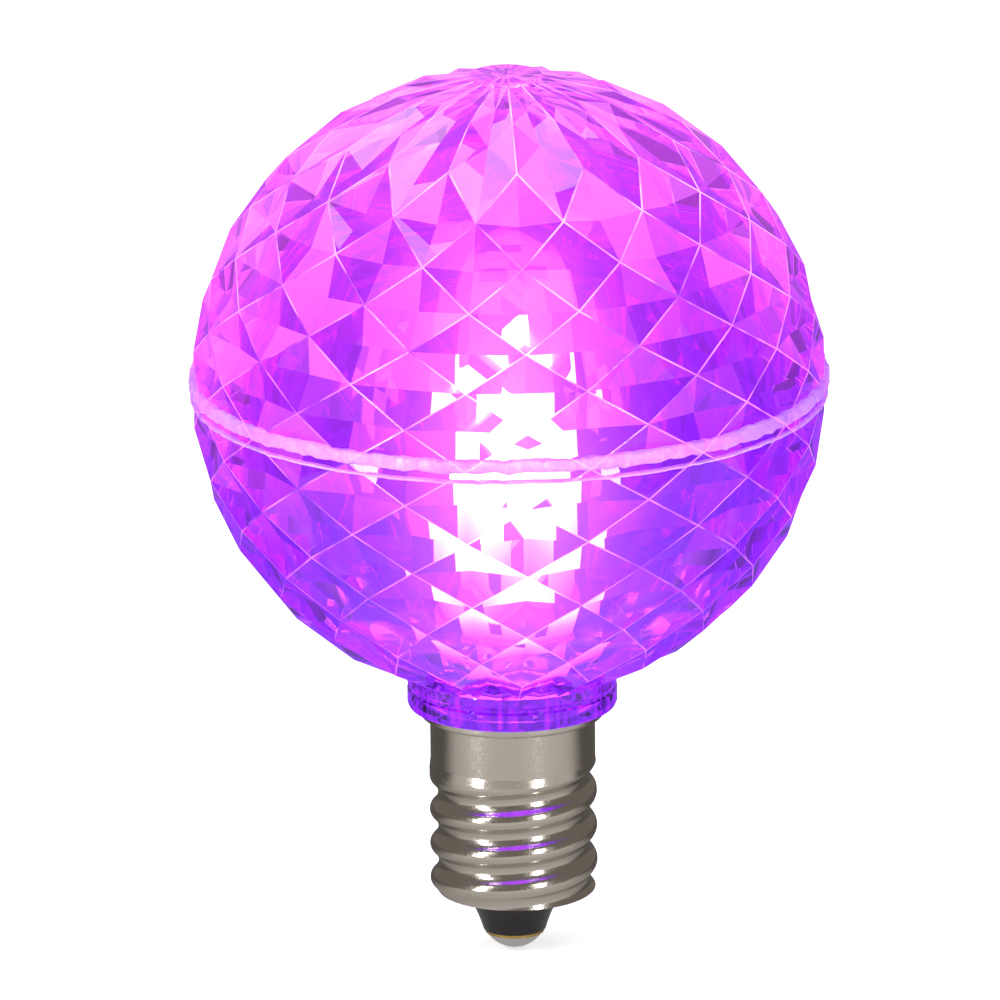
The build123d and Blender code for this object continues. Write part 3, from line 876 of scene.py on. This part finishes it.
def floor_paper(settings):
    """Matt white paper that keeps its shadow, and shows as shades of grey in what mirrors it."""
    material, tree = new_tree("paper_white_matt")
    paper = add_node(tree, "ShaderNodeBsdfPrincipled", {
        "Base Color": opaque(settings.floor), "Roughness": 0.9,
        "Emission Color": opaque(settings.floor), "Emission Strength": 0.3,
    })
    # Painted reflection for the metal to mirror: lighter towards the front, darker behind the bulb.
    shade = ramp(tree, axes(tree)["Y"], start=-30 * MM, end=15 * MM, stops=[
        (0.0, linear("D8D4CE")), (0.5, linear("C8C4BE")), (1.0, linear("625E5A")),
    ])
    grey = add_node(tree, "ShaderNodeEmission", {"Strength": 1.0}, Color=shade)
    add_node(tree, "ShaderNodeOutputMaterial", Surface=where_mirrored(tree, paper, grey))
    return material


def studio_floor(settings):
    """A wide sheet just under the tip."""
    data = bpy.data.meshes.new("floor")
    height = TIP_HEIGHT - FLOOR_GAP
    signs = ((-1, -1), (1, -1), (1, 1), (-1, 1))
    corners = [(x * FLOOR_REACH, y * FLOOR_REACH, height) for x, y in signs]
    data.from_pydata(corners, [], [(0, 1, 2, 3)])
    data.materials.append(floor_paper(settings))
    floor = bpy.data.objects.new("floor", data)
    bpy.context.scene.collection.objects.link(floor)
    return floor


def place_camera(settings):
    """A camera that sees the globe's centre at its place in the photographed picture."""
    data = bpy.data.cameras.new("camera")
    data.sensor_width = SENSOR
    data.lens = settings.focal_pixels / PICTURE * SENSOR
    data.clip_start, data.clip_end = 0.01, 10.0
    camera = bpy.data.objects.new("camera", data)
    bpy.context.scene.collection.objects.link(camera)
    centre = Vector((0, 0, SEAM_HEIGHT))
    away = Vector((0, -math.cos(settings.elevation), math.sin(settings.elevation)))
    across = settings.centre_x - PICTURE / 2
    down = settings.centre_y - PICTURE / 2
    seen_at = Vector((across, -down, -settings.focal_pixels)).normalized()
    level = (-away).to_track_quat("-Z", "Y").to_matrix()
    shift = seen_at.rotation_difference(Vector((0, 0, -1))).to_matrix()
    turn = level @ Matrix.Rotation(settings.roll, 3, "Z") @ shift
    camera.matrix_world = Matrix.Translation(centre + away * settings.distance) @ turn.to_4x4()
    bpy.context.scene.camera = camera


class BULB_OT_studio(bpy.types.Operator):
    """Sets the camera, the lamps, the floor and the white background"""

    bl_idname = "bulb.studio"
    bl_label = "Studio"

    def execute(self, context):
        scene = context.scene
        settings = scene.bulb_stage
        scene.view_settings.view_transform = "Standard"
        scene.world = studio_world()
        place_camera(settings)
        lamps = [area_lamp(*values) for values in LAMPS]
        floor = studio_floor(settings)
        return {"FINISHED"}


class BULB_PT_panel(bpy.types.Panel):
    """The bulb's steps and settings"""

    bl_idname = "BULB_PT_panel"
    bl_label = "Bulb"
    bl_space_type = "VIEW_3D"
    bl_region_type = "UI"
    bl_category = "Bulb"

    def draw(self, context):
        for operator, group in STEPS:
            self.layout.operator(operator)
            if group:
                settings = getattr(context.scene, group)
                for name in settings.__annotations__:
                    self.layout.prop(settings, name)


# Each step's operator and the settings shown under it.
STEPS = (
    ("bulb.globe", "bulb_globe"), ("bulb.weld", None), ("bulb.base", "bulb_base"),
    ("bulb.inside", "bulb_light"), ("bulb.studio", "bulb_stage"),
)
CLASSES = (
    GlobeSettings, BaseSettings, LightSettings, StageSettings, BULB_OT_globe, BULB_OT_weld,
    BULB_OT_base, BULB_OT_inside, BULB_OT_studio, BULB_PT_panel,
)


def register():
    """Registers the settings, the steps and the panel."""
    for item in CLASSES:
        bpy.utils.register_class(item)
    bpy.types.Scene.bulb_globe = PointerProperty(type=GlobeSettings)
    bpy.types.Scene.bulb_base = PointerProperty(type=BaseSettings)
    bpy.types.Scene.bulb_light = PointerProperty(type=LightSettings)
    bpy.types.Scene.bulb_stage = PointerProperty(type=StageSettings)


def unregister():
    """Takes them out again."""
    for _, group in STEPS:
        if group:
            delattr(bpy.types.Scene, group)
    for item in reversed(CLASSES):
        bpy.utils.unregister_class(item)


def main():
    """Runs every step in order."""
    register()
    bpy.ops.bulb.globe()
    bpy.ops.bulb.weld()
    bpy.ops.bulb.base()
    bpy.ops.bulb.inside()
    bpy.ops.bulb.studio()


if __name__ == "__main__":
    main()
